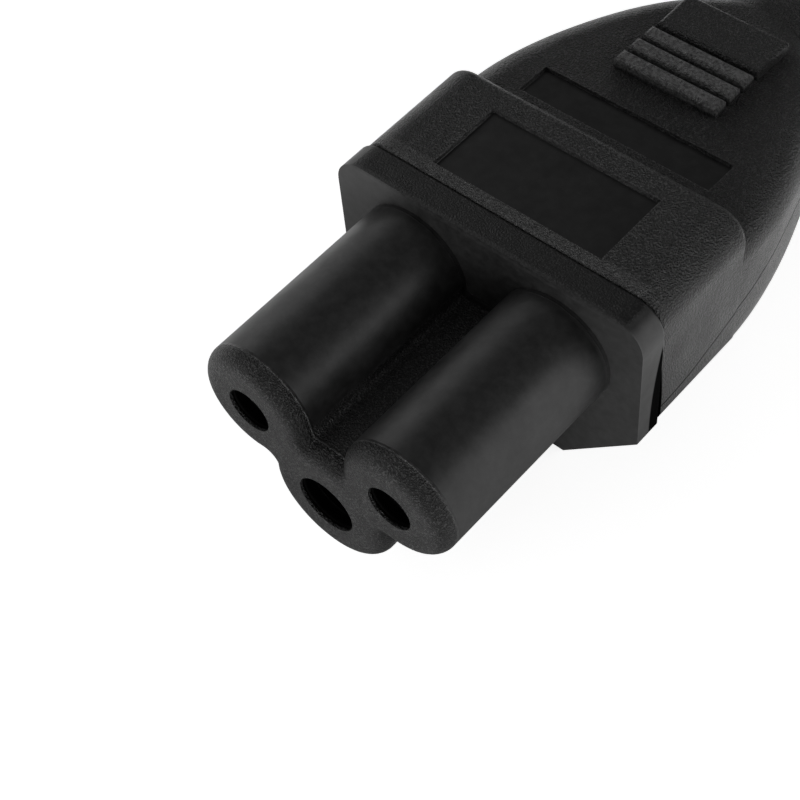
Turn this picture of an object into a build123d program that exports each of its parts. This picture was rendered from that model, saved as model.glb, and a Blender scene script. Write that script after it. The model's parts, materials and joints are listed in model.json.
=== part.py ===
from build123d import *
from math import cos, hypot, pi, radians, sin, tan
import os

# A mains lead with a cloverleaf appliance connector at one end and a round earthed two-pin plug at the other.
# X runs across the connector, Y from its nose towards the cord, and Z up from the face that it lies on.
# The origin is under the middle of the connector. All sizes are in millimetres.

# Nose of the connector: two upper lobes for line and neutral and one lower lobe for earth
SOCKET_PITCH = 10.0
EARTH_DROP = 4.41
LOBE_R = 3.68
EARTH_LOBE_R = 4.15
NOSE_LENGTH = 13.73
NOSE_EDGE_R = 1.05
CREASE_R = 0.35
SOCKET_R = 1.44
EARTH_SOCKET_R = 1.91
SOCKET_LIP = 3.2

# Flange and shank of the hard insert that the nose belongs to
BODY_HEIGHT = 14.75
SOCKET_RISE = 2.475
FLANGE_WIDTH = 21.3
FLANGE_THICKNESS = 1.97
FLANGE_DROP = 0.1
FLANGE_STEP = 0.25
TOP_CORNER_R = 1.9
BOTTOM_CHAMFER = 5.1
SHANK_WIDTH = 17.2
SHANK_HEIGHT = 10.4
SHANK_RISE = 0.3
SHANK_LENGTH = 2.8
SHANK_CORNER_R = 1.2

# Soft body moulded behind the flange
BLOCK_LENGTH = 7.9
BLOCK_EDGE_R = 0.5
SEAM_EDGE_R = 0.18
TAPER_LENGTH = 16.4
TAPER_SECTIONS = (
    # share of the taper, inset from the side of the block, half height, upper and lower corner radius
    (0.00, 0.05, 5.95, 2.2, 4.5),
    (0.25, 0.3, 5.75, 2.1, 5.0),
    (0.50, 1.35, 5.5, 2.3, 5.2),
    (0.75, 3.0, 5.25, 2.8, 4.9),
    (0.90, 4.3, 5.1, 3.6, 4.7),
)
RELIEF_R = 5.0
RELIEF_TIP_R = 4.35
RELIEF_LENGTH = 22.0

# Recessed fields and finger grip on the top of the body
PANEL_DEPTH = 0.25
FRONT_PANEL = (11.6, 5.28)
FRONT_PANEL_SETBACK = 0.8
REAR_PANEL = (13.3, 2.5)
REAR_PANEL_GAP = 1.5
TOP_SLOPE = 2.9
GRIP_WIDTH = 7.2
GRIP_START = 6.5
GRIP_HEIGHT = 0.75
RIB_COUNT = 3
RIB_LENGTH = 1.02
RIB_GROOVE = 0.38
RIB_EDGE_R = 0.28
GRIP_PLATE_LENGTH = 3.3

# Slots that make a strain relief bend
SLOT_WIDTH = 1.0
SLOT_PITCH = 2.7
SLOT_START = 1.1
SLOT_WEB = 2.4
RELIEF_EDGE_R = 0.4

# Contacts, crimps and cores
PIN_BORE_R = 1.22
EARTH_PIN_BORE_R = 1.6
CONTACT_WALL = 0.42
CONTACT_GAP = 0.1
CONTACT_LENGTH = 8.6
CONTACT_SLIT = 0.4
CRIMP_BORE_R = 0.6
CRIMP_WALL = 0.5
CRIMP_LENGTH = 8.4
CRIMP_WINDOW = 1.6
CONDUCTOR_R = 0.55
CONDUCTOR_IN_CRIMP = 4.0
CORE_R = 1.1
CORE_LAY_R = 1.32
CORE_BEND_R = 4.0
CORE_STRAIGHT = 2.8
MOULD_GAP = 0.06

# Cord
CORD_D = 6.8
JACKET_PAST_RELIEF = 6.0
JACKET_IN_PLUG = 14.0
LEAD_STRAIGHT = 14.5
LEAD_PAST_EXIT = 7.0
LEAD_RISE = 14.5
LEAD_IN_HANK = 16.0
TAIL_IN_HANK = 12.6
TAIL_STRAIGHT = 26.0
TAIL_AT_PLUG = 16.0

# Hank of the put-away length: two columns and two layers of cord in a long loop
HANK_COLUMNS = 2
HANK_LAYERS = 2
HANK_OUTER_R = 28.2
HANK_RUN = 93.0
HANK_SETBACK = 33.0
HANK_SLACK = 0.15
TIE_THICKNESS = 0.8
TIE_WIDTH = 9.0
TIE_TAIL = 9.0

# Plug: face, rim and body, in the plug's own frame with its face at Y 0 and its pins towards -Y
PLUG_R = 18.5
PLUG_RIM_LENGTH = 13.0
PLUG_EDGE_R = 1.4
PLUG_BODY_LENGTH = 31.0
PLUG_RELIEF_LENGTH = 20.0
PLUG_RELIEF_R = 5.6
PLUG_SECTIONS = (
    # share of the grip, half width, half height, corner radius
    (0.00, 16.6, 16.6, 16.0),
    (0.30, 13.9, 12.4, 9.0),
    (0.65, 11.6, 9.4, 7.0),
)
PLUG_TILT = 6.0
PLUG_FACE_SETBACK = 5.0
BRIDGE_R = 15.0
BRIDGE_LENGTH = 11.6
GUIDE_WIDTH = 5.6
GUIDE_DEPTH = 2.6
PLUG_PIN_R = 2.4
PLUG_PIN_LENGTH = 19.0
PLUG_PIN_PITCH = 19.0
PIN_TIP_R = 1.9
PIN_SHANK_R = 2.8
PIN_COLLAR_R = 3.4
PIN_COLLAR_LENGTH = 2.0
PIN_TAIL_R = 1.8
PIN_TAIL_LENGTH = 3.4
PIN_CUP_DEPTH = 2.6
EARTH_HOLE_R = 2.6
EARTH_HOLE_RISE = 10.0
EARTH_LIP = 3.0
EARTH_SLEEVE_BORE_R = 2.3
EARTH_SLEEVE_WALL = 0.6
STRIP_WIDTH = 5.0
STRIP_THICKNESS = 0.7
STRIP_PROUD = 0.25
STRIP_START = 1.0
STRIP_NOSE = 2.2
STRIP_SLACK = 0.4
EARTH_CORE_DROP = 6.0

# Heights and stations that follow from the sizes above
MID_Z = BODY_HEIGHT / 2
AXIS_Z = MID_Z + SOCKET_RISE
EARTH_Z = AXIS_Z - EARTH_DROP
BLOCK_WIDTH = FLANGE_WIDTH - 2 * FLANGE_STEP
FLANGE_BACK = NOSE_LENGTH + FLANGE_THICKNESS
SHANK_BACK = FLANGE_BACK + SHANK_LENGTH
BLOCK_BACK = FLANGE_BACK + BLOCK_LENGTH
TAPER_BACK = BLOCK_BACK + TAPER_LENGTH
CONNECTOR_LENGTH = TAPER_BACK + RELIEF_LENGTH
JACKET_IN_CONNECTOR = RELIEF_LENGTH + JACKET_PAST_RELIEF
JACKET_START = CONNECTOR_LENGTH - JACKET_IN_CONNECTOR
FACE_Y = -CONNECTOR_LENGTH / 2
CORD_R = CORD_D / 2
CONTACT_START = SOCKET_LIP + CONTACT_GAP
CONTACT_BACK = CONTACT_START + CONTACT_LENGTH
CRIMP_BACK = CONTACT_BACK + CRIMP_LENGTH
CRIMP_R = CRIMP_BORE_R + CRIMP_WALL
PLUG_LENGTH = PLUG_BODY_LENGTH + PLUG_RELIEF_LENGTH
PLUG_JACKET_START = PLUG_LENGTH - JACKET_IN_PLUG
SOCKETS = {
    "line": (SOCKET_PITCH / 2, AXIS_Z, SOCKET_R, PIN_BORE_R),
    "neutral": (-SOCKET_PITCH / 2, AXIS_Z, SOCKET_R, PIN_BORE_R),
    "earth": (0.0, EARTH_Z, EARTH_SOCKET_R, EARTH_PIN_BORE_R),
}
# Where each core lies in the jacket, seen along the cord from its axis
CORE_LAY = {
    "line": (CORE_LAY_R * cos(radians(30)), CORE_LAY_R * sin(radians(30))),
    "neutral": (-CORE_LAY_R * cos(radians(30)), CORE_LAY_R * sin(radians(30))),
    "earth": (0.0, -CORE_LAY_R),
}

os.makedirs("parts", exist_ok=True)


def save(piece, name):
    """Label a finished piece and write it as its own file."""
    piece.label = name
    export_step(piece, f"parts/{name}.step")


def section(y, x=0.0, z=0.0, face=FACE_Y):
    """The plane across the lead at y behind a face. A negative extrusion from it runs towards the cord."""
    return Plane(origin=(x, face + y, z), x_dir=(1, 0, 0), z_dir=(0, -1, 0))


def body_outline(y, width, height):
    """Outline of flange and block: small rounded corners on top and wide chamfers below."""
    with BuildSketch(section(y, z=MID_Z)) as outline:
        Rectangle(width, height)
        fillet(outline.vertices().group_by(Axis.Y)[-1], TOP_CORNER_R)
        chamfer(outline.vertices().group_by(Axis.Y)[0], BOTTOM_CHAMFER)
    return outline.sketch


def nose_outline():
    """Three lobes side by side, with a small radius in each crease."""
    upper = ((-SOCKET_PITCH / 2, 0), (SOCKET_PITCH / 2, 0))
    with BuildSketch(section(0, z=AXIS_Z)) as outline:
        with Locations(*upper):
            Circle(LOBE_R)
        with Locations((0, -EARTH_DROP)):
            Circle(EARTH_LOBE_R)
        creases = [
            v for v in outline.vertices()
            if abs(hypot(v.X, v.Y + EARTH_DROP) - EARTH_LOBE_R) < MOULD_GAP
            and any(abs(hypot(v.X - x, v.Y) - LOBE_R) < MOULD_GAP for x, _ in upper)
        ]
        fillet(creases, CREASE_R)
    return outline.sketch


def grip_form(sections, length, start, end_r, face, z):
    """A body that narrows in smooth steps to the round foot of its strain relief."""
    corners = len(sections[0]) - 3
    foot = (1.0, end_r, end_r, *[end_r - MOULD_GAP] * corners)
    with BuildPart() as form:
        for share, half_width, half_height, *corner_r in (*sections, foot):
            with BuildSketch(section(start + share * length, z=z, face=face)) as outline:
                if corners == 1:
                    RectangleRounded(2 * half_width, 2 * half_height, *corner_r)
                else:
                    Rectangle(2 * half_width, 2 * half_height)
                    fillet(outline.vertices().group_by(Axis.Y)[-1], corner_r[0])
                    fillet(outline.vertices().group_by(Axis.Y)[0], corner_r[1])
        loft()
    return form.part


def relief_form(start, length, foot_r, tip_r, face, z):
    """A tapered sleeve, cut by slots in turn above and below and at the two sides."""
    with BuildPart() as sleeve:
        with BuildSketch(section(start, z=z, face=face)):
            Circle(foot_r)
        with BuildSketch(section(start + length, z=z, face=face)):
            Circle(tip_r)
        loft()
        fillet(sleeve.faces().sort_by(Axis.Y)[-1].edges(), RELIEF_EDGE_R)
        slots = int((length - SLOT_START - SLOT_WIDTH) // SLOT_PITCH) + 1
        for i in range(slots):
            with BuildSketch(section(start + SLOT_START + i * SLOT_PITCH, z=z, face=face)):
                reach = foot_r + SLOT_WEB
                if i % 2 == 0:
                    with Locations((0, reach / 2 + SLOT_WEB / 2), (0, -reach / 2 - SLOT_WEB / 2)):
                        Rectangle(3 * foot_r, reach)
                else:
                    with Locations((reach / 2 + SLOT_WEB / 2, 0), (-reach / 2 - SLOT_WEB / 2, 0)):
                        Rectangle(reach, 3 * foot_r)
            extrude(amount=-SLOT_WIDTH, mode=Mode.SUBTRACT)
    return sleeve.part


def core_route(x, z, lay, start, end, face, axis_z):
    """Corners of a core's way from its crimp to its place in the jacket."""
    lay_x, lay_z = lay
    return (
        (x, face + start, z),
        (x, face + start + CORE_STRAIGHT, z),
        (lay_x, face + end - CORE_STRAIGHT, axis_z + lay_z),
        (lay_x, face + end, axis_z + lay_z),
    )


def core_rod(route, radius):
    """A round rod along a core's way."""
    with BuildPart() as rod:
        with BuildLine():
            path = FilletPolyline(*route, radius=CORE_BEND_R)
        with BuildSketch(Plane(origin=path @ 0, z_dir=path % 0)):
            Circle(radius)
        sweep(path=path)
    return rod.part


def rod(y, length, radius, x=0.0, z=0.0, face=FACE_Y, bore=0.0):
    """A round bar or tube along the lead."""
    with BuildPart() as bar:
        with BuildSketch(section(y, x, z, face)):
            Circle(radius)
            if bore:
                Circle(bore, mode=Mode.SUBTRACT)
        extrude(amount=-length)
    return bar.part


# Hard insert: nose, flange and shank in one moulding
shank_z = MID_Z + SHANK_RISE
with BuildPart() as connector_insert:
    add(extrude(nose_outline(), amount=-NOSE_LENGTH - FLANGE_THICKNESS / 2))
    fillet(connector_insert.faces().sort_by(Axis.Y)[0].edges(), NOSE_EDGE_R)
    flange_outline = body_outline(NOSE_LENGTH, FLANGE_WIDTH, BODY_HEIGHT - 2 * FLANGE_DROP)
    add(extrude(flange_outline, amount=-FLANGE_THICKNESS))
    fillet(connector_insert.faces().sort_by(Axis.Y)[-1].edges(), SEAM_EDGE_R)
    with BuildSketch(section(FLANGE_BACK, z=shank_z)):
        RectangleRounded(SHANK_WIDTH, SHANK_HEIGHT, SHANK_CORNER_R)
    extrude(amount=-SHANK_LENGTH)
    for x, z, socket_r, bore_r in SOCKETS.values():
        add(rod(0, SOCKET_LIP, socket_r, x, z), mode=Mode.SUBTRACT)
        cavity_r = bore_r + CONTACT_WALL + CONTACT_GAP
        add(rod(SOCKET_LIP, SHANK_BACK - SOCKET_LIP, cavity_r, x, z), mode=Mode.SUBTRACT)
save(connector_insert.part, "connector_insert")


# Contacts: a slit sleeve for the pin, then a crimp barrel with an open window between them
def contact(x, z, bore_r):
    """A drawn brass contact on the axis of its socket."""
    outer_r = bore_r + CONTACT_WALL
    with BuildPart() as piece:
        add(rod(CONTACT_START, CONTACT_LENGTH, outer_r, x, z))
        add(rod(CONTACT_BACK, CRIMP_LENGTH, CRIMP_R, x, z))
        add(rod(CONTACT_START, CONTACT_LENGTH - CONTACT_WALL, bore_r, x, z), mode=Mode.SUBTRACT)
        add(rod(CONTACT_BACK - CONTACT_WALL, CRIMP_LENGTH + CONTACT_WALL, CRIMP_BORE_R, x, z), mode=Mode.SUBTRACT)
        with BuildSketch(section(CONTACT_START, x, z + outer_r / 2)):
            Rectangle(CONTACT_SLIT, outer_r)
        extrude(amount=-(CONTACT_LENGTH - 2 * CONTACT_WALL), mode=Mode.SUBTRACT)
        with BuildSketch(section(CONTACT_BACK + CRIMP_WINDOW / 2, x, z + CRIMP_R / 2)):
            Rectangle(2 * CRIMP_R, CRIMP_R)
        extrude(amount=-CRIMP_WINDOW, mode=Mode.SUBTRACT)
    return piece.part


for name, (x, z, socket_r, bore_r) in SOCKETS.items():
    save(contact(x, z, bore_r), f"{name}_contact")

# Cores and bare conductors between the crimps and the jacket
connector_cores = {}
for name, (x, z, socket_r, bore_r) in SOCKETS.items():
    route = core_route(x, z, CORE_LAY[name], CRIMP_BACK, JACKET_START, FACE_Y, MID_Z)
    connector_cores[name] = route
    save(core_rod(route, CORE_R), f"connector_{name}_core")
    conductor = rod(CRIMP_BACK - CONDUCTOR_IN_CRIMP, CONDUCTOR_IN_CRIMP, CONDUCTOR_R, x, z)
    save(conductor, f"connector_{name}_conductor")


# Soft body: block, taper, finger grip and slotted strain relief in one moulding round all of these
def top_height(y):
    """Height of the taper's top at y behind the nose face."""
    stations = [(share * TAPER_LENGTH + BLOCK_BACK, half_height) for share, _, half_height, _, _ in TAPER_SECTIONS]
    stations.append((TAPER_BACK, RELIEF_R))
    for (y0, h0), (y1, h1) in zip(stations, stations[1:]):
        if y <= y1:
            return MID_Z + h0 + (h1 - h0) * (y - y0) / (y1 - y0)
    return MID_Z + RELIEF_R


def grip_bar(start, length):
    """One raised bar of the finger grip, with a rounded crown."""
    top = top_height(start + length / 2) + GRIP_HEIGHT
    with BuildPart() as bar:
        with BuildSketch(Plane.XY.offset(MID_Z)):
            with Locations((0, FACE_Y + start + length / 2)):
                Rectangle(GRIP_WIDTH, length)
        extrude(amount=top - MID_Z)
        fillet(bar.faces().sort_by(Axis.Z)[-1].edges(), RIB_EDGE_R)
    return bar.part


with BuildPart() as connector_body:
    add(extrude(body_outline(FLANGE_BACK, BLOCK_WIDTH, BODY_HEIGHT), amount=-BLOCK_LENGTH))
    fillet(connector_body.faces().sort_by(Axis.Y)[-1].edges(), BLOCK_EDGE_R)
    fillet(connector_body.faces().sort_by(Axis.Y)[0].edges(), SEAM_EDGE_R)
    taper = [(share, BLOCK_WIDTH / 2 - inset, *rest) for share, inset, *rest in TAPER_SECTIONS]
    add(grip_form(taper, TAPER_LENGTH + BLOCK_EDGE_R, BLOCK_BACK - BLOCK_EDGE_R, RELIEF_R, FACE_Y, MID_Z))
    for i in range(RIB_COUNT):
        add(grip_bar(BLOCK_BACK + GRIP_START + i * (RIB_LENGTH + RIB_GROOVE), RIB_LENGTH))
    add(grip_bar(BLOCK_BACK + GRIP_START + RIB_COUNT * (RIB_LENGTH + RIB_GROOVE), GRIP_PLATE_LENGTH))
    add(relief_form(TAPER_BACK, RELIEF_LENGTH, RELIEF_R, RELIEF_TIP_R, FACE_Y, MID_Z))
    with BuildSketch(Plane.XY.offset(BODY_HEIGHT - PANEL_DEPTH)):
        with Locations((0, FACE_Y + FLANGE_BACK + FRONT_PANEL_SETBACK + FRONT_PANEL[1] / 2)):
            Rectangle(*FRONT_PANEL)
    extrude(amount=2 * PANEL_DEPTH, mode=Mode.SUBTRACT)
    rear_y = BLOCK_BACK + REAR_PANEL_GAP + REAR_PANEL[1] / 2
    rear_floor = Plane(origin=(0, FACE_Y + rear_y, top_height(rear_y) - PANEL_DEPTH), z_dir=(0, 0, 1))
    with BuildSketch(rear_floor.rotated((-TOP_SLOPE, 0, 0))):
        Rectangle(*REAR_PANEL)
    extrude(amount=2 * PANEL_DEPTH, mode=Mode.SUBTRACT)
    with BuildSketch(section(FLANGE_BACK, z=shank_z)):
        RectangleRounded(SHANK_WIDTH + 2 * MOULD_GAP, SHANK_HEIGHT + 2 * MOULD_GAP, SHANK_CORNER_R)
    extrude(amount=-SHANK_LENGTH - MOULD_GAP, mode=Mode.SUBTRACT)
    for name, (x, z, socket_r, bore_r) in SOCKETS.items():
        add(rod(SHANK_BACK, CRIMP_BACK - SHANK_BACK, CRIMP_R + MOULD_GAP, x, z), mode=Mode.SUBTRACT)
        add(core_rod(connector_cores[name], CORE_R + MOULD_GAP), mode=Mode.SUBTRACT)
    add(rod(JACKET_START, JACKET_IN_CONNECTOR, CORD_R + MOULD_GAP, z=MID_Z), mode=Mode.SUBTRACT)
save(connector_body.part, "connector_body")

# Hank: one closed loop of the outer shape of its turns, lifted by the tie that goes round one side
hank_width = HANK_COLUMNS * CORD_D + 2 * HANK_SLACK
hank_height = HANK_LAYERS * CORD_D + 2 * HANK_SLACK
hank_x = HANK_OUTER_R
hank_near = FACE_Y + CONNECTOR_LENGTH + HANK_SETBACK
hank_far = hank_near + HANK_RUN
hank_y = (hank_near + hank_far) / 2
hank_reach = HANK_OUTER_R + CORD_R + HANK_SLACK
hank_inner = hank_reach - hank_width
with BuildPart() as cord_hank:
    with BuildSketch(Plane.XY.offset(TIE_THICKNESS)):
        with Locations((hank_x, hank_y)):
            SlotOverall(HANK_RUN + 2 * hank_reach, 2 * hank_reach, rotation=90)
            SlotOverall(HANK_RUN + 2 * hank_inner, 2 * hank_inner, rotation=90, mode=Mode.SUBTRACT)
    extrude(amount=hank_height)
    fillet(cord_hank.faces().sort_by(Axis.Z)[-1].edges(), CORD_R)
    fillet(cord_hank.faces().sort_by(Axis.Z)[0].edges(), CORD_R)
save(cord_hank.part, "cord_hank")

# Tie: a strap round the four cords of the side where the lead joins
tie_x = hank_x - hank_reach + hank_width / 2
tie_z = TIE_THICKNESS + hank_height / 2
with BuildPart() as cord_tie:
    with BuildSketch(Plane(origin=(0, hank_y + TIE_WIDTH / 2, 0), x_dir=(1, 0, 0), z_dir=(0, -1, 0))):
        with Locations((tie_x, tie_z)):
            RectangleRounded(hank_width + 2 * TIE_THICKNESS, hank_height + 2 * TIE_THICKNESS, CORD_R + TIE_THICKNESS)
            RectangleRounded(hank_width, hank_height, CORD_R, mode=Mode.SUBTRACT)
        with Locations((tie_x - hank_width / 2 - TIE_THICKNESS - TIE_THICKNESS / 2, tie_z)):
            Rectangle(TIE_THICKNESS, TIE_TAIL)
    extrude(amount=TIE_WIDTH)
save(cord_tie.part, "cord_tie")


def cord_tube(route):
    """A cord's tube: straight runs joined by the largest arcs that they have room for."""
    runs = [Vector(*b) - Vector(*a) for a, b in zip(route, route[1:])]
    radii = []
    for before, after in zip(runs, runs[1:]):
        turn = radians(before.get_angle(after))
        radii.append(0.45 * min(before.length, after.length) / tan(turn / 2))
    print("bend radii in diameters:", [round(r / CORD_D, 1) for r in radii])
    with BuildPart() as tube:
        with BuildLine():
            path = FilletPolyline(*route, radius=radii)
        with BuildSketch(Plane(origin=path @ 0, z_dir=path % 0)):
            Circle(CORD_R)
        sweep(path=path)
    print("tube volume over section times length:", round(tube.part.volume / (pi * CORD_R**2 * path.length), 4))
    return tube.part


# Lead: straight out of the strain relief, up over the near fold and into the upper layer of the side of the hank
layer_1 = TIE_THICKNESS + HANK_SLACK + CORD_R
layer_2 = layer_1 + CORD_D
lead_y = FACE_Y + CONNECTOR_LENGTH + LEAD_PAST_EXIT
LEAD_ROUTE = (
    (0.0, lead_y - LEAD_STRAIGHT, MID_Z),
    (0.0, lead_y, MID_Z),
    (0.0, lead_y + LEAD_RISE, layer_2),
    (0.0, lead_y + LEAD_RISE + LEAD_IN_HANK, layer_2),
)
with BuildPart() as cord_lead:
    add(cord_tube(LEAD_ROUTE))
    add(rod(JACKET_START, JACKET_IN_CONNECTOR + LEAD_PAST_EXIT - LEAD_STRAIGHT, CORD_R, z=MID_Z))
    add(cord_hank.part, mode=Mode.SUBTRACT)
save(cord_lead.part, "cord_lead")

# Plug, in its own frame
PIN_TAIL_BACK = BRIDGE_LENGTH + PIN_TAIL_LENGTH
PLUG_CORES = {
    "line": (PLUG_PIN_PITCH / 2, 0.0),
    "neutral": (-PLUG_PIN_PITCH / 2, 0.0),
    "earth": (0.0, -EARTH_CORE_DROP),
}
strip_back = BRIDGE_LENGTH + MOULD_GAP
strip_reach = PLUG_R + STRIP_PROUD

# Earth strip: a U of flat metal across the back of the bridge and along both sides of the rim
with BuildPart() as earth_strip:
    with BuildSketch(Plane.YZ.offset(-STRIP_WIDTH / 2)):
        for side in (1, -1):
            with BuildLine():
                Polyline(
                    (strip_back, 0),
                    (strip_back, side * (strip_reach - STRIP_THICKNESS)),
                    (STRIP_START + STRIP_NOSE, side * (strip_reach - STRIP_THICKNESS)),
                    (STRIP_START, side * (strip_reach - STRIP_NOSE)),
                    (STRIP_START, side * (strip_reach - STRIP_NOSE + STRIP_THICKNESS)),
                    (STRIP_START + STRIP_NOSE - STRIP_THICKNESS / 2, side * strip_reach),
                    (strip_back + STRIP_THICKNESS, side * strip_reach),
                    (strip_back + STRIP_THICKNESS, 0),
                    close=True,
                )
            make_face()
    extrude(amount=STRIP_WIDTH)

with BuildPart() as plug_bridge:
    add(rod(0, BRIDGE_LENGTH, BRIDGE_R, face=0))
    fillet(plug_bridge.faces().sort_by(Axis.Y)[0].edges(), SEAM_EDGE_R)
    for side in (1, -1):
        x = side * PLUG_PIN_PITCH / 2
        add(rod(0, BRIDGE_LENGTH, PIN_SHANK_R + MOULD_GAP, x, face=0), mode=Mode.SUBTRACT)
        collar = rod(BRIDGE_LENGTH - PIN_COLLAR_LENGTH, PIN_COLLAR_LENGTH, PIN_COLLAR_R + MOULD_GAP, x, face=0)
        add(collar, mode=Mode.SUBTRACT)
    add(rod(0, EARTH_LIP, EARTH_HOLE_R, z=EARTH_HOLE_RISE, face=0), mode=Mode.SUBTRACT)
    sleeve_r = EARTH_SLEEVE_BORE_R + EARTH_SLEEVE_WALL
    add(rod(EARTH_LIP, BRIDGE_LENGTH, sleeve_r + CONTACT_GAP, z=EARTH_HOLE_RISE, face=0), mode=Mode.SUBTRACT)

plug_pins = {}
for name in ("line", "neutral"):
    x, z = PLUG_CORES[name]
    with BuildPart() as plug_pin:
        add(rod(-PLUG_PIN_LENGTH, PLUG_PIN_LENGTH, PLUG_PIN_R, x, face=0))
        fillet(plug_pin.faces().sort_by(Axis.Y)[0].edges(), PIN_TIP_R)
        add(rod(0, BRIDGE_LENGTH, PIN_SHANK_R, x, face=0))
        add(rod(BRIDGE_LENGTH - PIN_COLLAR_LENGTH, PIN_COLLAR_LENGTH, PIN_COLLAR_R, x, face=0))
        add(rod(BRIDGE_LENGTH, PIN_TAIL_LENGTH, PIN_TAIL_R, x, face=0))
        add(rod(PIN_TAIL_BACK - PIN_CUP_DEPTH, PIN_CUP_DEPTH, CRIMP_BORE_R, x, face=0), mode=Mode.SUBTRACT)
    plug_pins[name] = plug_pin.part

with BuildPart() as earth_sleeve:
    sleeve_length = strip_back - EARTH_LIP - CONTACT_GAP
    sleeve_start = EARTH_LIP + CONTACT_GAP
    add(rod(sleeve_start, sleeve_length, sleeve_r, z=EARTH_HOLE_RISE, face=0, bore=EARTH_SLEEVE_BORE_R))
    with BuildSketch(section(sleeve_start, z=EARTH_HOLE_RISE, face=0)):
        Rectangle(CONTACT_SLIT, 3 * sleeve_r)
    extrude(amount=-sleeve_length / 2, mode=Mode.SUBTRACT)

plug_routes = {}
for name, (x, z) in PLUG_CORES.items():
    plug_routes[name] = core_route(x, z, CORE_LAY[name], PIN_TAIL_BACK, PLUG_JACKET_START, 0, 0)

# Where the plug lies: inside the hank, on the lower edge of its rim, with its cord end a little lower
tilt = radians(PLUG_TILT)
face_z = (PLUG_R + STRIP_PROUD) * cos(tilt) + PLUG_RIM_LENGTH * sin(tilt)
PLUG_PLACE = Location((hank_x, hank_near - PLUG_FACE_SETBACK, face_z), (-PLUG_TILT, 0, 0))

with BuildPart() as plug_body:
    add(rod(0, PLUG_RIM_LENGTH, PLUG_R, face=0))
    fillet(plug_body.edges().filter_by(GeomType.CIRCLE), PLUG_EDGE_R)
    grip_length = PLUG_BODY_LENGTH - PLUG_RIM_LENGTH + PLUG_EDGE_R
    add(grip_form(PLUG_SECTIONS, grip_length, PLUG_RIM_LENGTH - PLUG_EDGE_R, PLUG_RELIEF_R, 0, 0))
    for side in (1, -1):
        with BuildSketch(section(0, side * PLUG_R, face=0)):
            Rectangle(2 * GUIDE_DEPTH, GUIDE_WIDTH)
        extrude(amount=-PLUG_RIM_LENGTH + PLUG_EDGE_R, mode=Mode.SUBTRACT)
    add(relief_form(PLUG_BODY_LENGTH, PLUG_RELIEF_LENGTH, PLUG_RELIEF_R, RELIEF_TIP_R, 0, 0))
    add(rod(0, BRIDGE_LENGTH + MOULD_GAP, BRIDGE_R + MOULD_GAP, face=0), mode=Mode.SUBTRACT)
    for side in (1, -1):
        with BuildSketch(section(0, z=side * strip_reach, face=0)):
            Rectangle(STRIP_WIDTH + 2 * STRIP_SLACK, 2 * (STRIP_NOSE + STRIP_THICKNESS))
        extrude(amount=-strip_back - STRIP_THICKNESS, mode=Mode.SUBTRACT)
    with BuildSketch(section(BRIDGE_LENGTH, face=0)):
        Rectangle(STRIP_WIDTH + 2 * MOULD_GAP, 2 * strip_reach)
    extrude(amount=-STRIP_THICKNESS - 2 * MOULD_GAP, mode=Mode.SUBTRACT)
    for name, route in plug_routes.items():
        x, z = PLUG_CORES[name]
        tail_r = PIN_TAIL_R if name != "earth" else CONDUCTOR_R
        add(rod(BRIDGE_LENGTH, PIN_TAIL_LENGTH, tail_r + MOULD_GAP, x, z, face=0), mode=Mode.SUBTRACT)
        add(core_rod(route, CORE_R + MOULD_GAP), mode=Mode.SUBTRACT)
    add(rod(PLUG_JACKET_START, JACKET_IN_PLUG, CORD_R + MOULD_GAP, face=0), mode=Mode.SUBTRACT)

save(plug_body.part.moved(PLUG_PLACE), "plug_body")
save(plug_bridge.part.moved(PLUG_PLACE), "plug_bridge")
save(earth_strip.part.moved(PLUG_PLACE), "plug_earth_strip")
save(earth_sleeve.part.moved(PLUG_PLACE), "plug_earth_sleeve")
for name, pin in plug_pins.items():
    save(pin.moved(PLUG_PLACE), f"plug_{name}_pin")
for name, route in plug_routes.items():
    x, z = PLUG_CORES[name]
    save(core_rod(route, CORE_R).moved(PLUG_PLACE), f"plug_{name}_core")
    start = PIN_TAIL_BACK - PIN_CUP_DEPTH if name != "earth" else strip_back + STRIP_THICKNESS
    bare = rod(start, PIN_TAIL_BACK - start, CONDUCTOR_R, x, z, face=0)
    save(bare.moved(PLUG_PLACE), f"plug_{name}_conductor")


def on_plug_axis(y):
    """A point of the plug's axis, at y behind its face."""
    point = (PLUG_PLACE * Pos(0, y, 0)).position
    return (point.X, point.Y, point.Z)


# Tail: out of the inner top turn at the far fold, across the window and into the plug
tail_x = hank_x + HANK_OUTER_R - CORD_D
TAIL_ROUTE = (
    (tail_x, hank_far + TAIL_IN_HANK, layer_2),
    (tail_x, hank_far + TAIL_IN_HANK - TAIL_STRAIGHT, layer_2),
    on_plug_axis(PLUG_LENGTH + TAIL_AT_PLUG),
    on_plug_axis(PLUG_JACKET_START),
)
with BuildPart() as cord_tail:
    add(cord_tube(TAIL_ROUTE))
    add(cord_hank.part, mode=Mode.SUBTRACT)
save(cord_tail.part, "cord_tail")
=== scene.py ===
import json
import math

import bpy
from mathutils import Matrix, Vector


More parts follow.
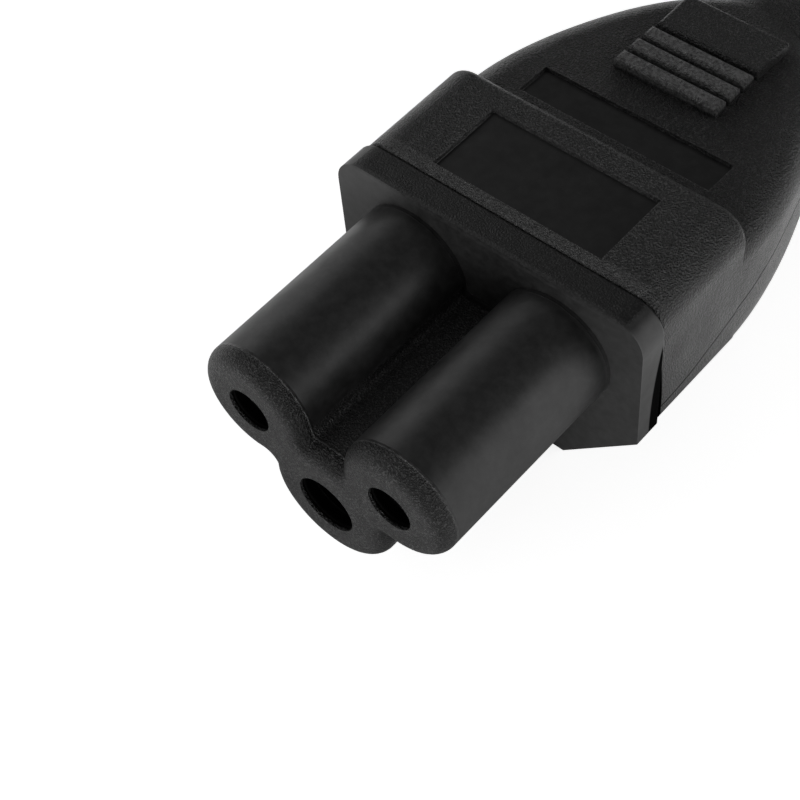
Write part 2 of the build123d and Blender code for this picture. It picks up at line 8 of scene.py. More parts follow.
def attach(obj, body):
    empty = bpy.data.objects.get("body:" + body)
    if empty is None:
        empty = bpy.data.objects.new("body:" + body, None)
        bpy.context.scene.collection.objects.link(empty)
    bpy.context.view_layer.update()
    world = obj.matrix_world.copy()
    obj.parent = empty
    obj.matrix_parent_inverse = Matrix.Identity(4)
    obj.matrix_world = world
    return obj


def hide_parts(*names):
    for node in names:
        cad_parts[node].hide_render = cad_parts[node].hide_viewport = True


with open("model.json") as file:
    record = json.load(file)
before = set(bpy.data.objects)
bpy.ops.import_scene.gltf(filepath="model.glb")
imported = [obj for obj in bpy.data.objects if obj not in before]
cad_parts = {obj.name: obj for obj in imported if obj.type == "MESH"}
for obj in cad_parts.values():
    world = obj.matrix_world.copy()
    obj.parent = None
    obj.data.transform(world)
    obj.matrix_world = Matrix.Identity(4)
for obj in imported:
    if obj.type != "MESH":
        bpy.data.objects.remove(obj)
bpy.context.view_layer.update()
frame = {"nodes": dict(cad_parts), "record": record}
nodes = frame["nodes"]
scene = bpy.context.scene
MM = 0.001
WHITE = (1, 1, 1, 1)

# Camera, fitted to the photograph: its place, lens and sensor in millimetres, and its directions
CAMERA_AT = (41.168, -63.662, 84.312)
CAMERA_RIGHT = (0.750942, 0.65674, -0.069128)
CAMERA_DOWN = (0.498048, -0.631986, -0.593753)
CAMERA_LOOK = (-0.433629, 0.411445, -0.801673)
CAMERA_LENS = 78.45
SENSOR_WIDTH = 36.0
CLIP_START = 5.0
CLIP_END = 10000.0

camera_data = bpy.data.cameras.new("camera")
camera_data.lens = CAMERA_LENS
camera_data.sensor_width = SENSOR_WIDTH
camera_data.clip_start = CLIP_START * MM
camera_data.clip_end = CLIP_END * MM
camera = bpy.data.objects.new("camera", camera_data)
right, down, look = (Vector(v).normalized() for v in (CAMERA_RIGHT, CAMERA_DOWN, CAMERA_LOOK))
turn = Matrix((right, -down, -look)).transposed().to_4x4()
camera.matrix_world = Matrix.Translation(Vector(CAMERA_AT) * MM) @ turn
scene.collection.objects.link(camera)
scene.camera = camera

# Sizes shared with the CAD source, in millimetres
CORD_D = 6.8
CORD_R = CORD_D / 2
FACE_Y = -31.0
MID_Z = 7.375
HANK_OUTER_R = 28.2
HANK_RUN = 93.0
HANK_NEAR = 64.0
HANK_FAR = HANK_NEAR + HANK_RUN
HANK_X = HANK_OUTER_R
HANK_SLACK = 0.15
TIE_THICKNESS = 0.8
LAYER_1 = TIE_THICKNESS + HANK_SLACK + CORD_R
LAYER_2 = LAYER_1 + CORD_D
PLUG_TILT = math.radians(6.0)
PLUG_LENGTH = 51.0
PLUG_JACKET_START = 37.0
PLUG_R = 18.5
PLUG_RIM_LENGTH = 13.0
PLUG_FACE_SETBACK = 5.0
STRIP_PROUD = 0.25
PLUG_Z = (PLUG_R + STRIP_PROUD) * math.cos(PLUG_TILT) + PLUG_RIM_LENGTH * math.sin(PLUG_TILT)


def on_plug_axis(y):
    """A point of the plug's axis in millimetres, at y behind its face."""
    face = Vector((HANK_X, HANK_NEAR - PLUG_FACE_SETBACK, PLUG_Z))
    return face + y * Vector((0, math.cos(PLUG_TILT), -math.sin(PLUG_TILT)))


# Places on the connector in millimetres: the nose's flash line, the root of its tubes, the front of the
# flange, the seam behind it, each socket's X, Z and half width, the gap at the seam, and the stretch where the
# parting line climbs
RIM_Y = -29.9
ROOT_Y = -17.5
FLANGE_Y = -17.3
SEAM_Y = -15.3
SOCKETS = ((-5.0, 9.85, 1.6), (5.0, 9.85, 1.6), (0.0, 4.85, 2.0))
GAP_Y = SEAM_Y - 0.2
GAP_Z = 5.8
GAP_HALF_HEIGHT = 6.6
GAP_HALF_WIDTH = 0.8
GAP_EDGE = 0.12
PARTING_Y = (-14.5, 0.0)
PARTING_Z = (5.9, 9.5)

# Boxes on the connector, as their lowest and highest corners; None leaves a side open
NOSE_CAP = ((None, None, None), (None, RIM_Y, None))
NOSE_RIM = ((None, FACE_Y + 0.15, None), (None, RIM_Y - 0.1, None))
SOCKET_DEPTH = ((None, FACE_Y + 0.25, None), (None, -19.0, None))
WEB = ((-1.6, None, 8.6), (1.6, FLANGE_Y - 0.3, 10.2))
FLANGE_FRONT = ((None, FLANGE_Y - 0.4, None), (None, FLANGE_Y + 0.1, None))
FLANGE_MIDDLE = ((-6.5, None, None), (6.5, None, None))
FLANGE_EDGE = ((-9.0, FLANGE_Y, 14.3), (9.4, FLANGE_Y + 0.3, None))
FLANGE_TOP = ((-9.5, FLANGE_Y + 0.1, 14.4), (9.5, None, None))
FLANGE_TOP_DARK = ((-9.5, FLANGE_Y - 0.1, 14.4), (9.5, None, None))
GAP_SIDE = ((9.3, None, None), (None, None, None))
PARTING_SIDE = ((3.5, None, None), (None, 24.0, None))
FRONT_FIELD = ((-5.8, -14.5, 14.0), (5.8, -9.22, None))
REAR_FIELD = ((-6.65, -5.9, 12.0), (6.65, -3.4, None))
RIBS = ((-3.7, -1.1, 13.15), (3.7, 3.2, None))
BLOCK_FRONT_EDGE = ((-9.0, SEAM_Y - 0.1, 14.3), (9.0, SEAM_Y + 0.9, None))
BLOCK_BACK_EDGE = ((-9.6, -7.75, 13.0), (9.6, -7.35, None))

# How much each of those places is rubbed and painted lighter with painted highlights and reflections, darkened
# by painted shade, or grained
# The ribs and the block's front and back edges are painted lighter: partly rubbing, and a painted highlight
# where the ribs and the back edge catch the light
WEAR_AND_HIGHLIGHT_PLACES = ((RIBS, 3.6), (BLOCK_FRONT_EDGE, 1.3), (BLOCK_BACK_EDGE, 0.7))
FLASH_WEAR = 3.12
FLANGE_EDGE_WEAR = 0.5
# How much the sides of the flange's front are lightened: a painted reflection of the floor
FLANGE_FRONT_REFLECTION = 0.35
NOSE_RIM_SHADE = 0.4
FLANGE_TOP_SHADE = 0.3
ROOT_SHADE = 0.3
DEEPEST_SHADE = 0.96
WEB_GRAIN = 0.6
FLANGE_TOP_GRAIN = 0.3

# Fine relief in millimetres: heights, half widths, how far its lines wander in all, and how far the painted
# highlight along the edge of a recessed field reaches to each side
LINE_WANDER = 0.12
FLASH_HEIGHT = 0.12
FLASH_WIDTH = 0.1
ROOT_HEIGHT = 0.015
ROOT_WIDTH = 0.05
PARTING_HEIGHT = -0.15
PARTING_WIDTH = 0.11
PARTING_WANDER = 0.3
FIELD_MARGIN = 0.06
RIPPLE_HEIGHT = 0.004

# Finish of the cores and of metal: how dark its darker patches are, its roughness, its relief in millimetres,
# the scale of a core's bands and the stretch of the drawing marks
CORE_DARKER = 0.8
CORE_ROUGHNESS = 0.42
CORE_RELIEF = 0.01
CORE_BANDS_SCALE = 300
METAL_DARKER = 0.86
METAL_ROUGHNESS_SWING = 0.2
METAL_RELIEF = 0.006
DRAWN = (1.0, 0.08, 1.0)

# Spark grain: the share of each of its parts, and how many times finer than the coarse part the others are
COARSE_SHARE = 0.9
FINE_SHARE = 0.45
PEBBLE_SHARE = 0.55
FINE_FREQUENCY = 2.3
PEBBLE_FREQUENCY = 1.25
PEBBLE_SMOOTHNESS = 0.6

# Plastic in general; a range is where a noise or the grain starts to count and where it counts in full
PLASTIC_IOR = 1.49
SPECULAR_LEVEL = 0.5
MOTTLING = 0.25
# How much rubbing and the painted highlights and reflections lighten the colour
WEAR_AND_LIGHT_TONE = 0.05
SHADE_ROUGHNESS = 0.95
ROUGHNESS_SWING = 0.24
PEBBLE_RANGE = (0.99167, 1.15833)
SMUDGE_RANGE = (0.36667, 0.7)
WEAR_AND_LIGHT_RANGE = (0.25, 0.66667)
UNEVEN_RANGE = (0.125, 0.75)


def math_node(tree, operation, a, b=None, c=None, clamp=False):
    """One Math node; each argument is a socket or a number."""
    node = tree.nodes.new("ShaderNodeMath")
    node.operation = operation
    node.use_clamp = clamp
    for socket, value in zip(node.inputs, (a, b, c)):
        if value is None:
            continue
        if isinstance(value, (int, float)):
            socket.default_value = value
        else:
            tree.links.new(value, socket)
    return node.outputs["Value"]


def product(tree, first, *others):
    """All the values multiplied."""
    for other in others:
        first = math_node(tree, "MULTIPLY", first, other)
    return first


def largest(tree, first, *others):
    """The largest of the values."""
    for other in others:
        first = math_node(tree, "MAXIMUM", first, other)
    return first


def rest_of(tree, share):
    """1 less the share, but no less than 0."""
    return math_node(tree, "SUBTRACT", 1.0, share, clamp=True)


def distance_from(tree, value, place):
    """How far a value is from a place, in either direction."""
    return math_node(tree, "ABSOLUTE", math_node(tree, "SUBTRACT", value, place))


def swing(tree, value, middle, reach):
    """A value from 0 to 1 turned into one that swings about middle, by reach in all."""
    return math_node(tree, "MULTIPLY_ADD", value, reach, middle - reach / 2)


def rise(tree, value, start, end):
    """0 up to start, 1 from end on, and a straight rise between them."""
    steep = 1 / (end - start)
    return math_node(tree, "MULTIPLY_ADD", value, steep, -start * steep, clamp=True)


def axes_of(tree, coords):
    """The X, Y and Z sockets of a point."""
    node = tree.nodes.new("ShaderNodeSeparateXYZ")
    tree.links.new(coords, node.inputs["Vector"])
    return node.outputs


def box_mask(tree, coords, box, edge=0.05, grow=0.0):
    """1 inside a box and 0 outside it, with a soft edge; grow moves its sides out; all in millimetres."""
    axes = axes_of(tree, coords)
    mask = None
    for axis, low, high in zip("XYZ", *box):
        for limit, sign in ((low, 1), (high, -1)):
            if limit is None:
                continue
            steep = sign / (edge * MM)
            offset = 0.5 - (limit - sign * grow) * MM * steep
            part = math_node(tree, "MULTIPLY_ADD", axes[axis], steep, offset, clamp=True)
            mask = part if mask is None else product(tree, mask, part)
    return mask


def noise(tree, coords, scale, detail=2.0, roughness=0.5, stretch=None):
    """A noise texture with about scale cells to the metre, along each axis times stretch."""
    vector = coords
    if stretch:
        mapping = tree.nodes.new("ShaderNodeMapping")
        mapping.inputs["Scale"].default_value = stretch
        tree.links.new(coords, mapping.inputs["Vector"])
        vector = mapping.outputs["Vector"]
    node = tree.nodes.new("ShaderNodeTexNoise")
    node.inputs["Scale"].default_value = scale
    node.inputs["Detail"].default_value = detail
    node.inputs["Roughness"].default_value = roughness
    tree.links.new(vector, node.inputs["Vector"])
    return node.outputs["Fac"]


def ramp(tree, value, stops):
    """Maps a value through grey or colour stops of (position, colour)."""
    node = tree.nodes.new("ShaderNodeValToRGB")
    elements = node.color_ramp.elements
    for element, (position, color) in zip(elements, stops):
        element.position = position
        element.color = (*color, 1.0) if isinstance(color, tuple) else (color, color, color, 1.0)
    tree.links.new(value, node.inputs["Fac"])
    return node.outputs["Color"]


def bump(tree, height, depth=1.0):
    """A bump of a height times depth in millimetres."""
    node = tree.nodes.new("ShaderNodeBump")
    node.inputs["Distance"].default_value = depth * MM
    node.inputs["Strength"].default_value = 1.0
    tree.links.new(height, node.inputs["Height"])
    return node.outputs["Normal"]


def new_material(name):
    """A new node material, its tree, its Principled shader and the piece's coordinates in metres."""
    material = bpy.data.materials.new(name)
    material.use_nodes = True
    tree = material.node_tree
    shader = tree.nodes["Principled BSDF"]
    coords = tree.nodes.new("ShaderNodeTexCoord").outputs["Object"]
    return material, tree, shader, coords


def grain_height(tree, coords, size):
    """The surface of a spark-eroded mould, between 0 and 1.9, with pebbles of a size in millimetres."""
    scale = 1 / (size * MM)
    coarse = noise(tree, coords, scale, detail=1.5)
    fine = noise(tree, coords, FINE_FREQUENCY * scale, detail=2.0, roughness=0.55)
    cells = tree.nodes.new("ShaderNodeTexVoronoi")
    cells.feature = "SMOOTH_F1"
    cells.inputs["Scale"].default_value = PEBBLE_FREQUENCY * scale
    cells.inputs["Smoothness"].default_value = PEBBLE_SMOOTHNESS
    tree.links.new(coords, cells.inputs["Vector"])
    pebble = math_node(tree, "SUBTRACT", 1.0, cells.outputs["Distance"])
    total = math_node(tree, "MULTIPLY_ADD", coarse, COARSE_SHARE, product(tree, fine, FINE_SHARE))
    return math_node(tree, "MULTIPLY_ADD", pebble, PEBBLE_SHARE, total)


def black_plastic(
    name,
    color,
    roughness,
    grain_size,
    grain_depth,
    pebble_highlight=0.0,
    smooth=None,
    smudge=0.0,
    bare=None,
    extra=None,
):
    """Black moulded plastic with a spark grain, whose pebbles are painted paler than the valleys: painted
    highlights on the pebbles and painted shade in the valleys.

    Grain sizes and depths are in millimetres. bare(tree, coords) is 1 where the surface has no grain, and
    smooth is its roughness and smudge its paler touch there. extra(tree, coords) gives a further height in
    millimetres, such as a moulding line, a painted shade that darkens, and a lightening that is partly rubbing
    and partly painted highlight and painted reflection.
    """
    material, tree, shader, coords = new_material(name)
    grain = grain_height(tree, coords, grain_size)
    height = product(tree, grain, grain_depth)
    tone = swing(tree, noise(tree, coords, scale=350, detail=4.0), color, 4 * MOTTLING * color)
    rough = swing(tree, noise(tree, coords, scale=450, detail=5.0), roughness, ROUGHNESS_SWING)
    # The grain's pebbles are painted paler than its valleys: painted highlights and painted shade
    pale = product(tree, rise(tree, grain, *PEBBLE_RANGE), pebble_highlight)
    if bare:
        where = bare(tree, coords)
        grained = rest_of(tree, where)
        smudges = rise(tree, noise(tree, coords, scale=1500, detail=6.0, roughness=0.65), *SMUDGE_RANGE)
        pale = product(tree, pale, grained)
        pale = math_node(tree, "MULTIPLY_ADD", product(tree, smudges, where), smudge, pale)
        ripple = product(tree, noise(tree, coords, scale=700, detail=4.0), RIPPLE_HEIGHT)
        height = math_node(tree, "MULTIPLY_ADD", ripple, where, product(tree, height, grained))
        rough = math_node(tree, "MULTIPLY_ADD", where, smooth - roughness, rough)
    tone = math_node(tree, "ADD", tone, pale)
    if extra:
        relief, shade, wear_and_painted_light = extra(tree, coords)
        lit = rest_of(tree, shade)
        height = math_node(tree, "ADD", height, relief)
        rough = largest(tree, rough, product(tree, shade, SHADE_ROUGHNESS))
        # Painted shade darkens the colour and the specular level; rubbing and painted highlights lighten the
        # colour
        tone = product(tree, math_node(tree, "MULTIPLY_ADD", wear_and_painted_light, WEAR_AND_LIGHT_TONE, tone), lit)
        tree.links.new(product(tree, lit, SPECULAR_LEVEL), shader.inputs["Specular IOR Level"])
    tree.links.new(tone, shader.inputs["Base Color"])
    tree.links.new(rough, shader.inputs["Roughness"])
    tree.links.new(bump(tree, height), shader.inputs["Normal"])
    shader.inputs["IOR"].default_value = PLASTIC_IOR
    return material


def in_sockets(tree, coords, edge):
    """1 inside the three sockets, from just behind the face of the nose."""
    bores = []
    for x, z, radius in SOCKETS:
        around = ((x - radius, None, z - radius), (x + radius, None, z + radius))
        bores.append(box_mask(tree, coords, around, edge=0.02))
    return product(tree, largest(tree, *bores), box_mask(tree, coords, SOCKET_DEPTH, edge))


def smooth_on_insert(tree, coords):
    """The insert is smooth but for the nose's cap, the web between the tubes and the flange's top."""
    cap = box_mask(tree, coords, NOSE_CAP)
    web = product(tree, box_mask(tree, coords, WEB, edge=0.2), WEB_GRAIN)
    top = product(tree, box_mask(tree, coords, FLANGE_TOP, edge=0.3), FLANGE_TOP_GRAIN)
    return largest(tree, rest_of(tree, largest(tree, cap, web, top)), in_sockets(tree, coords, edge=0.1))


def uneven_line(tree, coords, y, width):
    """1 on a thin uneven line round the insert at y, falling to 0 at width from it; both in millimetres."""
    wander = swing(tree, noise(tree, coords, scale=900, detail=3.0), 0.0, LINE_WANDER * MM)
    place = math_node(tree, "ADD", axes_of(tree, coords)["Y"], wander)
    away = product(tree, distance_from(tree, place, y * MM), 1 / (width * MM))
    uneven = rise(tree, noise(tree, coords, scale=1800, detail=2.0), *UNEVEN_RANGE)
    return product(tree, rest_of(tree, away), uneven)


def seam_gap(tree, coords):
    """1 in the open gap between the flange and the soft body at their right side, widest at GAP_Z."""
    axes = axes_of(tree, coords)
    up = product(tree, math_node(tree, "SUBTRACT", axes["Z"], GAP_Z * MM), 1 / (GAP_HALF_HEIGHT * MM))
    half_width = product(tree, rest_of(tree, product(tree, up, up)), GAP_HALF_WIDTH * MM)
    within = math_node(tree, "SUBTRACT", half_width, distance_from(tree, axes["Y"], GAP_Y * MM))
    inside = math_node(tree, "MULTIPLY", within, 1 / (GAP_EDGE * MM), clamp=True)
    return product(tree, inside, box_mask(tree, coords, GAP_SIDE, edge=0.5))


def patches_of_wear_and_light(tree, coords):
    """An uneven cover between 0 and 1 for rubbed places and painted highlights."""
    return rise(tree, noise(tree, coords, scale=5000, detail=3.0), *WEAR_AND_LIGHT_RANGE)


def insert_lines(tree, coords):
    """The relief of the insert's flash line and root groove, its places darkened by painted shade, and its
    rubbed flash line and flange edge, with a painted reflection lightening the sides of the flange's front.
    """
    flash = uneven_line(tree, coords, RIM_Y, FLASH_WIDTH)
    root = uneven_line(tree, coords, ROOT_Y, ROOT_WIDTH)
    relief = math_node(tree, "MULTIPLY_ADD", root, ROOT_HEIGHT, product(tree, flash, FLASH_HEIGHT))
    edge = product(tree, box_mask(tree, coords, FLANGE_EDGE, edge=0.12), FLANGE_EDGE_WEAR)
    wear_and_painted_light = math_node(tree, "MULTIPLY_ADD", flash, FLASH_WEAR, edge)
    wear_and_painted_light = product(tree, wear_and_painted_light, patches_of_wear_and_light(tree, coords))
    # A painted reflection of the floor on the sides of the flange's front, kept off its middle under the nose
    sides = rest_of(tree, box_mask(tree, coords, FLANGE_MIDDLE, edge=4.0))
    front = product(tree, box_mask(tree, coords, FLANGE_FRONT, edge=0.1), sides)
    wear_and_painted_light = math_node(tree, "MULTIPLY_ADD", front, FLANGE_FRONT_REFLECTION, wear_and_painted_light)
    shade = largest(
        tree,
        product(tree, box_mask(tree, coords, NOSE_RIM, edge=0.2), NOSE_RIM_SHADE),
        product(tree, box_mask(tree, coords, FLANGE_TOP_DARK, edge=0.3), FLANGE_TOP_SHADE),
        product(tree, root, ROOT_SHADE),
        in_sockets(tree, coords, edge=0.4),
        seam_gap(tree, coords),
    )
    return relief, product(tree, shade, DEEPEST_SHADE), wear_and_painted_light


def fields(tree, coords, grow):
    """1 inside the two recessed fields of the soft body, each side moved out by grow millimetres."""
    both = (box_mask(tree, coords, field, edge=0.04, grow=grow) for field in (FRONT_FIELD, REAR_FIELD))
    return largest(tree, *both)


def smooth_on_body(tree, coords):
    """The two recessed fields of the soft body have no grain."""
    return fields(tree, coords, -FIELD_MARGIN)


def parting_line(tree, coords):
    """1 on a thin line along the right side of the soft body, which climbs from the flange to the taper."""
    axes = axes_of(tree, coords)
    climb = tree.nodes.new("ShaderNodeMapRange")
    climb.interpolation_type = "SMOOTHSTEP"
    tree.links.new(axes["Y"], climb.inputs["Value"])
    for socket, value in zip(climb.inputs[1:5], (*PARTING_Y, *PARTING_Z)):
        socket.default_value = value * MM
    wander = swing(tree, noise(tree, coords, scale=600, detail=3.0), 0.0, PARTING_WANDER * MM)
    place = math_node(tree, "ADD", axes["Z"], wander)
    away = product(tree, distance_from(tree, place, climb.outputs["Result"]), 1 / (PARTING_WIDTH * MM))
    return product(tree, rest_of(tree, away), box_mask(tree, coords, PARTING_SIDE, edge=1.0))


def body_lines(tree, coords):
    """The relief of the soft body's parting line, its places darkened by painted shade, and its ribs and edges
    painted lighter by rubbing and painted highlight.
    """
    line = parting_line(tree, coords)
    # The edges of the recessed fields are painted lighter: a painted highlight along them that lifts the shade
    # of the recess walls
    outside = fields(tree, coords, FIELD_MARGIN)
    rubbed_and_highlit = math_node(tree, "SUBTRACT", outside, fields(tree, coords, -FIELD_MARGIN))
    for place, share in WEAR_AND_HIGHLIGHT_PLACES:
        rubbed_and_highlit = largest(tree, rubbed_and_highlit, product(tree, box_mask(tree, coords, place, edge=0.2), share))
    wear_and_painted_light = product(tree, rubbed_and_highlit, patches_of_wear_and_light(tree, coords))
    return product(tree, line, PARTING_HEIGHT), largest(tree, line, seam_gap(tree, coords)), wear_and_painted_light


def colored_plastic(name, color, stripe=None):
    """Insulation of a core in one colour, or in two in bands across X."""
    material, tree, shader, coords = new_material(name)
    tone = noise(tree, coords, scale=500, detail=3.0)
    darker = tuple(c * CORE_DARKER for c in color)
    result = ramp(tree, tone, ((0.3, darker), (0.7, color)))
    if stripe:
        bands = tree.nodes.new("ShaderNodeTexWave")
        bands.bands_direction = "X"
        bands.inputs["Scale"].default_value = CORE_BANDS_SCALE
        tree.links.new(coords, bands.inputs["Vector"])
        mix = tree.nodes.new("ShaderNodeMix")
        mix.data_type = "RGBA"
        sharp = ramp(tree, bands.outputs["Fac"], ((0.48, 0.0), (0.52, 1.0)))
        tree.links.new(sharp, mix.inputs["Factor"])
        tree.links.new(result, mix.inputs["A"])
        mix.inputs["B"].default_value = (*stripe, 1)
        result = mix.outputs["Result"]
    tree.links.new(result, shader.inputs["Base Color"])
    shader.inputs["Roughness"].default_value = CORE_ROUGHNESS
    tree.links.new(bump(tree, tone, CORE_RELIEF), shader.inputs["Normal"])
    return material


def metal(name, color, roughness, scratch_scale):
    """Bare or plated metal with fine drawing marks along Y."""
    material, tree, shader, coords = new_material(name)
    shader.inputs["Metallic"].default_value = 1.0
    marks = noise(tree, coords, scratch_scale, detail=4.0, stretch=DRAWN)
    darker = tuple(c * METAL_DARKER for c in color)
    tree.links.new(ramp(tree, marks, ((0.35, darker), (0.65, color))), shader.inputs["Base Color"])
    tree.links.new(swing(tree, marks, roughness, METAL_ROUGHNESS_SWING), shader.inputs["Roughness"])
    tree.links.new(bump(tree, marks, METAL_RELIEF), shader.inputs["Normal"])
    return material


# Floor: the camera sees it white but for the shadow, and reflections see it glow bright beside and behind the
# connector only, a painted reflection on the connector. Sizes and places are in millimetres.
FLOOR_SIZE = 3000.0
FLOOR_COLOR = (0.85, 0.85, 0.85, 1)
FLOOR_ROUGHNESS = 0.9
FLOOR_SEEN = 0.8
FULL_WHITE_FROM = (200.0, 533.3)
BESIDE_GLOW = 0.8
BESIDE_MIDDLE_X = -1.5
BESIDE_RANGE = (10.5, 27.17)
BEHIND_RANGE = (-14.0, -2.89)

half = FLOOR_SIZE * MM / 2
floor_mesh = bpy.data.meshes.new("floor")
floor_corners = [(-half, -half, 0), (half, -half, 0), (half, half, 0), (-half, half, 0)]
floor_mesh.from_pydata(floor_corners, [], [(0, 1, 2, 3)])
floor = bpy.data.objects.new("floor", floor_mesh)
scene.collection.objects.link(floor)


def floor_glow(tree, coords):
    """How strongly the floor shines, for what the camera sees and, as a painted reflection, for what is
    reflected in the object.
    """
    axes = axes_of(tree, coords)
    path = tree.nodes.new("ShaderNodeLightPath").outputs
    aside = distance_from(tree, axes["X"], BESIDE_MIDDLE_X * MM)
    beside = rise(tree, aside, *(limit * MM for limit in BESIDE_RANGE))
    behind = rise(tree, axes["Y"], *(limit * MM for limit in BEHIND_RANGE))
    mirrored = largest(tree, product(tree, beside, BESIDE_GLOW), behind)
    from_middle = tree.nodes.new("ShaderNodeVectorMath")
    from_middle.operation = "LENGTH"
    tree.links.new(coords, from_middle.inputs[0])
    far = rise(tree, from_middle.outputs["Value"], *(limit * MM for limit in FULL_WHITE_FROM))
    seen = math_node(tree, "MULTIPLY_ADD", far, 1.0 - FLOOR_SEEN, FLOOR_SEEN)
    seen = product(tree, seen, path["Is Camera Ray"])
    return math_node(tree, "ADD", seen, product(tree, mirrored, path["Is Glossy Ray"]))


floor_material, floor_tree, floor_shader, floor_coords = new_material("floor_white")
floor_shader.inputs["Base Color"].default_value = FLOOR_COLOR
floor_shader.inputs["Roughness"].default_value = FLOOR_ROUGHNESS
floor_shader.inputs["Emission Color"].default_value = WHITE
floor_tree.links.new(floor_glow(floor_tree, floor_coords), floor_shader.inputs["Emission Strength"])
floor_mesh.materials.append(floor_material)

# World: a plain weak light that the camera sees as white
WORLD_LIGHT = 0.14
WORLD_SEEN = 1.05

world = bpy.data.worlds.new("studio")
scene.world = world
world.use_nodes = True
world_tree = world.node_tree
world_dim = world_tree.nodes["Background"]
world_white = world_tree.nodes.new("ShaderNodeBackground")
for background, strength in ((world_dim, WORLD_LIGHT), (world_white, WORLD_SEEN)):
    background.inputs["Color"].default_value = WHITE
    background.inputs["Strength"].default_value = strength
world_path = world_tree.nodes.new("ShaderNodeLightPath")
world_mix = world_tree.nodes.new("ShaderNodeMixShader")
world_tree.links.new(world_path.outputs["Is Camera Ray"], world_mix.inputs["Fac"])
world_tree.links.new(world_dim.outputs["Background"], world_mix.inputs[1])
world_tree.links.new(world_white.outputs["Background"], world_mix.inputs[2])
world_tree.links.new(world_mix.outputs["Shader"], world_tree.nodes["World Output"].inputs["Surface"])

# Lights, each with its place, its width and height in millimetres and its power in watts
LIGHTS_AIM = (0, -10, 8)
LIGHTS = (
    ("left", (-380, 60, 240), 300, 300, 0.4),
    ("right", (370, 195, 140), 300, 240, 0.45),
    ("front_left", (-170, -340, 170), 260, 200, 0.12),
    ("front_right", (130, -370, 50), 200, 80, 0.65),
)


def area_light(name, at, width, height, power):
    """A rectangular soft light that points at the connector."""
    data = bpy.data.lights.new(name, "AREA")
    data.shape = "RECTANGLE"
    data.size = width * MM
    data.size_y = height * MM
    data.energy = power
    light = bpy.data.objects.new(name, data)
    aim = (Vector(LIGHTS_AIM) - Vector(at)).to_track_quat("-Z", "Y")
    light.matrix_world = Matrix.Translation(Vector(at) * MM) @ aim.to_matrix().to_4x4()
    scene.collection.objects.link(light)


for row in LIGHTS:
    area_light(*row)
scene.view_settings.view_transform = "Standard"

# Cord: its lead, its turns through the hank's four slots and its tail, in millimetres. A slot is an inset and
# a height, and a change to the next slot is its start and end, as distances from the far fold.
FOLD_POINTS = 6
FOLD_STEP = math.pi / FOLD_POINTS
SLOTS = ((0.0, LAYER_2), (0.0, LAYER_1), (CORD_D, LAYER_1), (CORD_D, LAYER_2))
CHANGES = ((42.0, 80.0), (23.0, 61.0), (4.0, 42.0))
LEFT_STATIONS = [HANK_NEAR + HANK_RUN * share for share in (0.12, 0.37, 0.63, 0.88)]
RIGHT_STATIONS = [HANK_FAR - HANK_RUN * share for share in (0.06, 0.18, 0.30, 0.42, 0.54, 0.66, 0.78, 0.92)]
LEAD_POINTS = (
    (0.0, 23.5, MID_Z),
    (0.0, 38.0, MID_Z),
    (0.0, 52.5, LAYER_2),
    (0.0, 68.5, LAYER_2),
)
TAIL_POINTS = (
    (HANK_X + HANK_OUTER_R - CORD_D, HANK_FAR - 13.4, LAYER_2),
    tuple(on_plug_axis(PLUG_LENGTH + 16.0)),
    tuple(on_plug_axis(PLUG_JACKET_START)),
)


def eased(a, b, start, end, value):
    """A smooth change from a to b while value runs from start to end."""
    share = min(max((value - start) / (end - start), 0.0), 1.0)
    return a + (b - a) * share * share * (3 - 2 * share)


def fold_points(middle_y, radius, z, start):
    """Half a turn clockwise about the hank's fold at middle_y, from the angle start."""
    reach = radius / math.cos(FOLD_STEP / 2)
    angles = [start - FOLD_STEP * (i + 0.5) for i in range(FOLD_POINTS)]
    return [(HANK_X + reach * math.cos(a), middle_y + reach * math.sin(a), z) for a in angles]


def up_points(index, stations=LEFT_STATIONS):
    """The first half of a turn: up the left side in the slot of that index, and round the far fold."""
    inset, z = SLOTS[index]
    radius = HANK_OUTER_R - inset
    return [(HANK_X - radius, y, z) for y in stations] + fold_points(HANK_FAR, radius, z, math.pi)


def down_points(index):
    """The second half: down the right side while moving on to the next slot, and round the near fold."""
    inset, z = SLOTS[index]
    next_inset, next_z = SLOTS[index + 1]
    points = []
    for y in RIGHT_STATIONS:
        x = HANK_X + HANK_OUTER_R - eased(inset, next_inset, *CHANGES[index], HANK_FAR - y)
        points.append((x, y, eased(z, next_z, *CHANGES[index], HANK_FAR - y)))
    return points + fold_points(HANK_NEAR, HANK_OUTER_R - next_inset, next_z, 0.0)


def cord_curve(name, points):
    """A smooth open cord with the given control points in millimetres.

    Its radius is on the points, because Blender adds theirs to the curve's bounds.
    """
    curve = bpy.data.curves.new(name, "CURVE")
    curve.dimensions = "3D"
    spline = curve.splines.new("NURBS")
    spline.points.add(len(points) - 1)
    for point, (x, y, z) in zip(spline.points, points):
        point.co = (x * MM, y * MM, z * MM, 1.0)
        point.radius = CORD_R * MM
    spline.order_u = 3
    spline.use_endpoint_u = True
    curve.resolution_u = 10
    curve.bevel_depth = 1.0
    curve.bevel_resolution = 6
    curve.use_fill_caps = True
    return bpy.data.objects.new(name, curve)


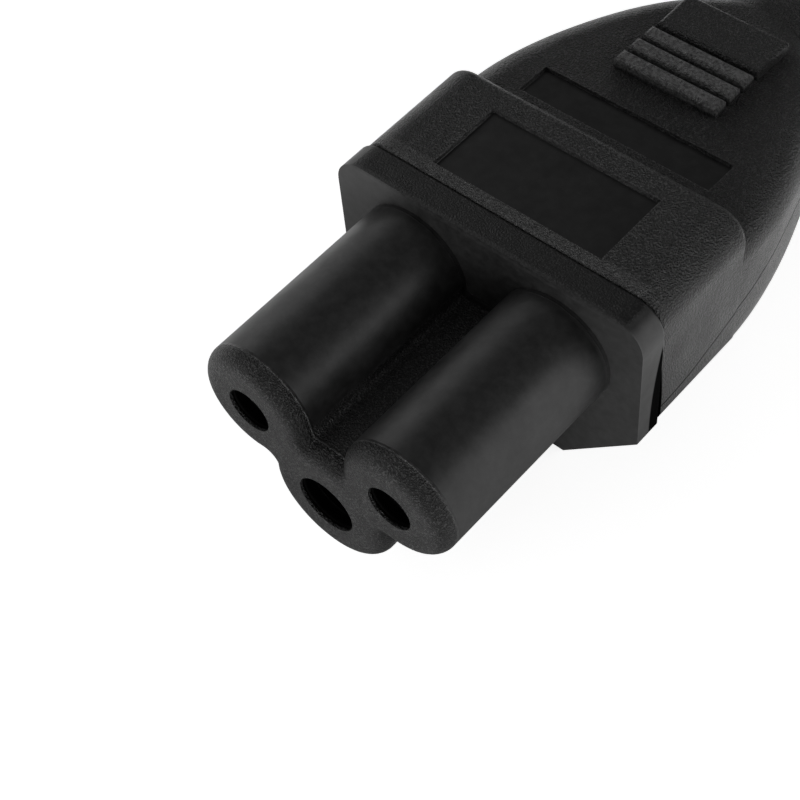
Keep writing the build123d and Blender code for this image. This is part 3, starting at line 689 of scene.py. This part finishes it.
cord_points = list(LEAD_POINTS) + up_points(0, LEFT_STATIONS[1:])
for slot in range(3):
    cord_points += down_points(slot) + up_points(slot + 1)
cord_points += TAIL_POINTS
cord = cord_curve("cord", cord_points)
scene.collection.objects.link(cord)
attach(cord, "root")
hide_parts("cord_lead", "cord_hank", "cord_tail")

# Finishes of the record's material slots
finishes = {
    "hard_plastic": black_plastic(
        "hard_plastic",
        color=0.007,
        roughness=0.38,
        grain_size=0.12,
        grain_depth=0.14,
        pebble_highlight=0.08,
        smooth=0.47,
        smudge=0.015,
        bare=smooth_on_insert,
        extra=insert_lines,
    ),
    "soft_plastic": black_plastic(
        "soft_plastic",
        color=0.004,
        roughness=0.38,
        grain_size=0.13,
        grain_depth=0.32,
        pebble_highlight=0.058,
        smooth=0.36,
        smudge=0.009,
        bare=smooth_on_body,
        extra=body_lines,
    ),
    "cord_jacket": black_plastic("cord_jacket", 0.008, 0.42, grain_size=0.5, grain_depth=0.012),
    "tie_cloth": black_plastic("tie_cloth", 0.02, 0.85, grain_size=0.4, grain_depth=0.1),
    "plug_plastic": black_plastic("plug_plastic", 0.008, 0.5, grain_size=0.2, grain_depth=0.06),
    "plug_bridge_plastic": black_plastic(
        "plug_bridge_plastic", 0.007, 0.38, grain_size=0.3, grain_depth=0.015
    ),
    "earth_metal": metal("earth_metal", (0.62, 0.6, 0.55), 0.3, 4000),
    "pin_metal": metal("pin_metal", (0.66, 0.64, 0.6), 0.24, 4000),
    # The contacts' brass is painted far darker than brass: painted shade inside the sockets
    "contact_brass": metal("contact_brass", (0.09, 0.065, 0.03), 0.55, 1200),
    "core_brown": colored_plastic("core_brown", (0.2, 0.08, 0.03)),
    "core_blue": colored_plastic("core_blue", (0.03, 0.12, 0.45)),
    "core_green_yellow": colored_plastic("core_green_yellow", (0.05, 0.3, 0.05), stripe=(0.6, 0.5, 0.03)),
    "copper": metal("copper", (0.8, 0.42, 0.25), 0.3, 5000),
}
cord.data.materials.append(finishes["cord_jacket"])
slot_of = {row["node"]: row["material_slot"] for row in frame["record"]["subparts"]}
for name, node in nodes.items():
    node.data.materials.clear()
    node.data.materials.append(finishes[slot_of[name]])

bpy.context.view_layer.update()
